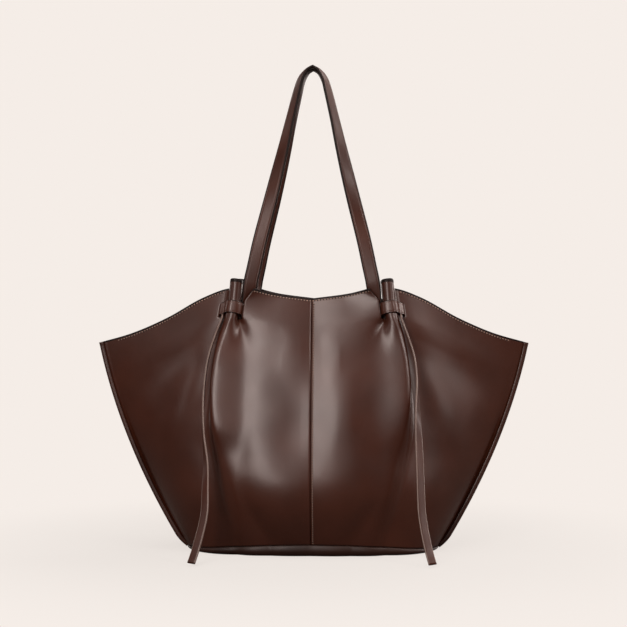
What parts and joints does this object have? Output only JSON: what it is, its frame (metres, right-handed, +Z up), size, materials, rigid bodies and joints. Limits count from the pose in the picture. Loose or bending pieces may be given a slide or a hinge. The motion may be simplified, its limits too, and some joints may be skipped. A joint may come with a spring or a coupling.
{
  "type": "leather carryall bag",
  "caption": "Open-topped leather tote with flared wings, pinched pleats held by keeper bands, hanging ties and twisted strap handles.",
  "frame": {"origin": "centre of the bag's footprint, on the floor it stands on", "axes": "+Z up, -Y out of the front face, +X to the right as the front is looked at"},
  "size_m": [0.4964, 0.3014, 0.5575],
  "materials": {
    "panel_leather": "smooth, semi-gloss, fine grain",
    "base_leather": "smooth, satin",
    "binding_leather": "folded strip, satin",
    "keeper_leather": "smooth, semi-gloss",
    "strap_leather": "smooth, painted edges",
    "tie_leather": "smooth, painted edges",
    "lining_suede": "flesh side, matt suede",
    "stiff_board": "fibreboard, matt"
  },
  "bodies": {
    "bag": {"back_panel_left": "panel_leather", "back_panel_right": "panel_leather", "base_board": "stiff_board", "base_panel": "base_leather", "front_panel_left": "panel_leather", "front_panel_right": "panel_leather", "keeper_back_left": "keeper_leather", "keeper_back_right": "keeper_leather", "keeper_front_left": "keeper_leather", "keeper_front_right": "keeper_leather", "mouth_facing_back": "lining_suede", "mouth_facing_front": "lining_suede", "pleat_patch_back_left": "lining_suede", "pleat_patch_back_right": "lining_suede", "pleat_patch_front_left": "lining_suede", "pleat_patch_front_right": "lining_suede", "side_binding_left": "binding_leather", "side_binding_right": "binding_leather", "strap_end_back_left": "strap_leather", "strap_end_back_right": "strap_leather", "strap_end_front_left": "strap_leather", "strap_end_front_right": "strap_leather", "wing_facing_back_left": "lining_suede", "wing_facing_back_right": "lining_suede", "wing_facing_front_left": "lining_suede", "wing_facing_front_right": "lining_suede"},
    "handle_back": {"handle_back": "strap_leather"},
    "handle_front": {"handle_front": "strap_leather"},
    "tie_back_left": {"tie_back_left": "tie_leather"},
    "tie_back_right": {"tie_back_right": "tie_leather"},
    "tie_front_left": {"tie_front_left": "tie_leather"},
    "tie_front_right": {"tie_front_right": "tie_leather"}
  },
  "joints": [
    {"name": "handle_front_hinge", "type": "hinge", "parent": "bag", "child": "handle_front", "pos_m": [0, -0.04532, 0.30677], "axis": [1, 0, 0], "range_deg": [0, 150]},
    {"name": "handle_back_hinge", "type": "hinge", "parent": "bag", "child": "handle_back", "pos_m": [0, 0.04532, 0.30677], "axis": [-1, 0, 0], "range_deg": [0, 150]},
    {"name": "tie_front_left_hinge", "type": "hinge", "parent": "bag", "child": "tie_front_left", "pos_m": [-0.1013, -0.04673, 0.26732], "axis": [-1, 0, 0], "range_deg": [0, 75]},
    {"name": "tie_front_right_hinge", "type": "hinge", "parent": "bag", "child": "tie_front_right", "pos_m": [0.1013, -0.04673, 0.26732], "axis": [-1, 0, 0], "range_deg": [0, 75]},
    {"name": "tie_back_left_hinge", "type": "hinge", "parent": "bag", "child": "tie_back_left", "pos_m": [-0.1013, 0.04673, 0.26732], "axis": [1, 0, 0], "range_deg": [0, 75]},
    {"name": "tie_back_right_hinge", "type": "hinge", "parent": "bag", "child": "tie_back_right", "pos_m": [0.1013, 0.04673, 0.26732], "axis": [1, 0, 0], "range_deg": [0, 75]}
  ]
}
